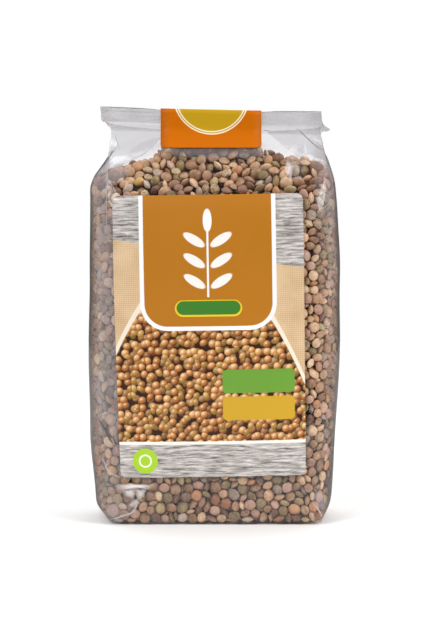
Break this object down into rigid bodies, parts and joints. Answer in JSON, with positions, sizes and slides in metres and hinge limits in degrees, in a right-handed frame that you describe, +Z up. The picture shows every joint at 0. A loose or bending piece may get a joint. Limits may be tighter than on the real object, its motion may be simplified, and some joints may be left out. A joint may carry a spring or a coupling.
{
  "type": "bag of dry lentils",
  "caption": "Clear film block-bottom bag of dry brown lentils, standing upright, its top folded over and held by a sticker, with a printed label on the front.",
  "frame": {"origin": "middle of the flat base, on the surface that the bag stands on", "axes": "+Z up along the bag's height, +Y from the labelled front to the back, +X to the right as seen from the front"},
  "size_m": [0.1001, 0.053, 0.1627],
  "materials": {
    "lentils": "dry lentil skins, smooth and half matt, from grey brown to rust and olive",
    "film": "clear cast polypropylene film, glossy, with fine creases",
    "label": "coated paper printed in fields of orange, brown, cream and green, satin",
    "sticker": "coated paper printed orange with an ochre disc, satin"
  },
  "bodies": {
    "root": {"lentil_bag": "lentils", "front_label": "label", "top_sticker": "sticker"}
  },
  "joints": []
}
